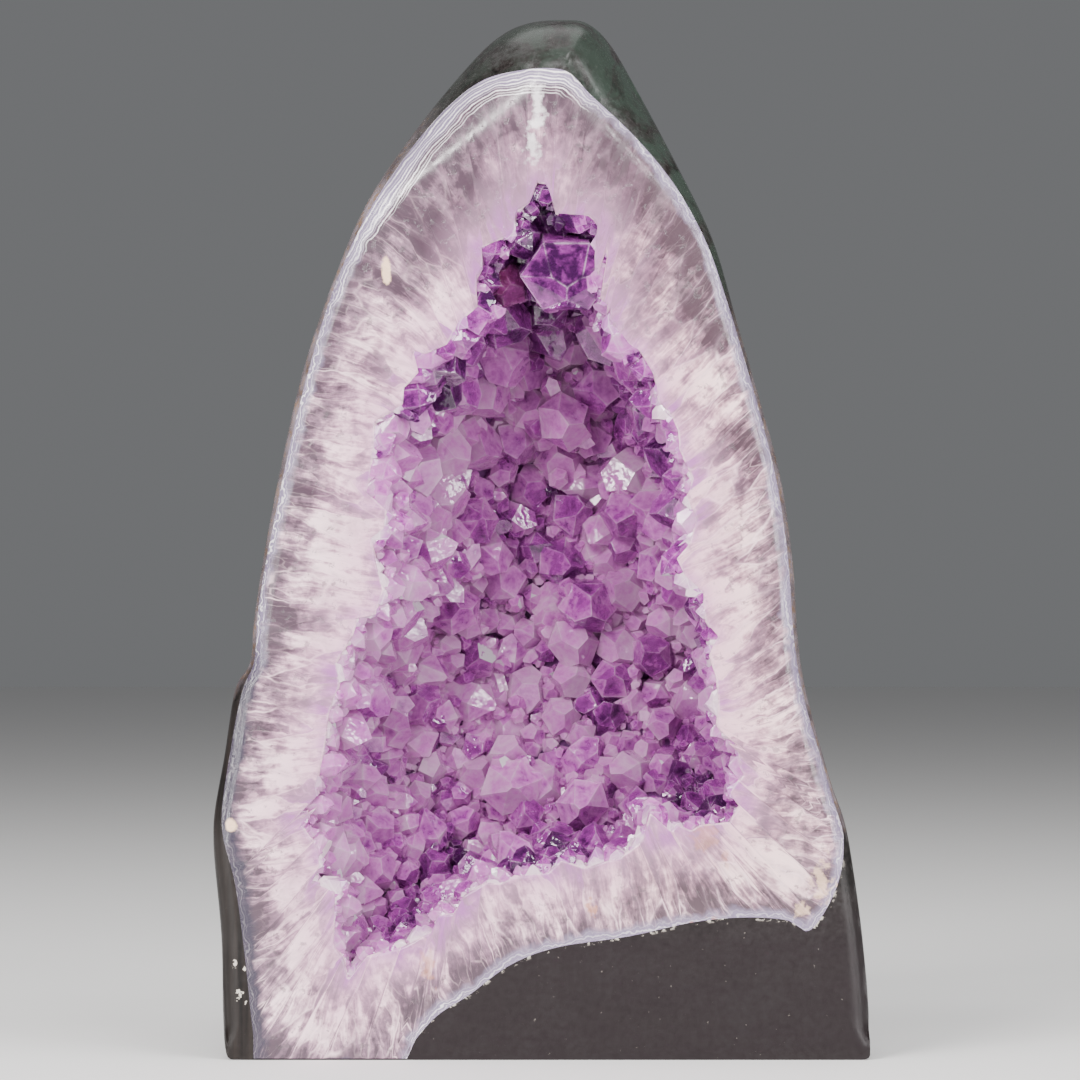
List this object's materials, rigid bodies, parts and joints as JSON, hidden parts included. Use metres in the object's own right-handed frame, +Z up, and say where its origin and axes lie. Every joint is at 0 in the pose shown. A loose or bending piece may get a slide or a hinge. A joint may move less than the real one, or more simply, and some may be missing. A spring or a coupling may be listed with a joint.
{
  "type": "amethyst geode",
  "caption": "Tall free-standing half of a basalt geode, sawn and polished at the front, with an agate-banded quartz rim round a hollow lined with amethyst points.",
  "frame": {"origin": "on the floor, at the middle of the footprint of the bounding box", "axes": "+Z up along the geode's height, -Y out of the polished front face, +X to the right as the front is looked at"},
  "size_m": [0.2632, 0.1717, 0.4198],
  "materials": {
    "basalt": "polished dark grey basalt with green patches, rougher at the back",
    "quartz": "polished fibrous quartz with an agate band",
    "amethyst": "natural clear crystal faces"
  },
  "bodies": {
    "root": {"basalt_matrix": "basalt", "quartz_wall": "quartz", "amethyst_crust": "amethyst"}
  },
  "joints": []
}
